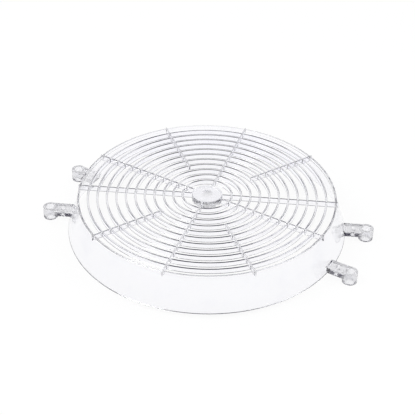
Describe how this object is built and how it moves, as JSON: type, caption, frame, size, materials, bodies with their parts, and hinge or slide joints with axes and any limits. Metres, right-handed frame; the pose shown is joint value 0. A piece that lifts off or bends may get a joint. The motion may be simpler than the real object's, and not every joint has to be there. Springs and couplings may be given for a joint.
{
  "type": "fan guard",
  "caption": "Clear one-piece finger guard for an axial fan: concentric rings and radial ribs closing a flared skirt with bored screw ears.",
  "frame": {"origin": "centre of the plane through the feet of the four screw bosses", "axes": "+Z out of the grille along the fan's axis, +X midway between the two ears of a pair"},
  "size_m": [0.3288, 0.2808, 0.0415],
  "materials": {
    "clear_plastic": "gloss"
  },
  "bodies": {
    "root": {"fan_guard": "clear_plastic"}
  },
  "joints": []
}
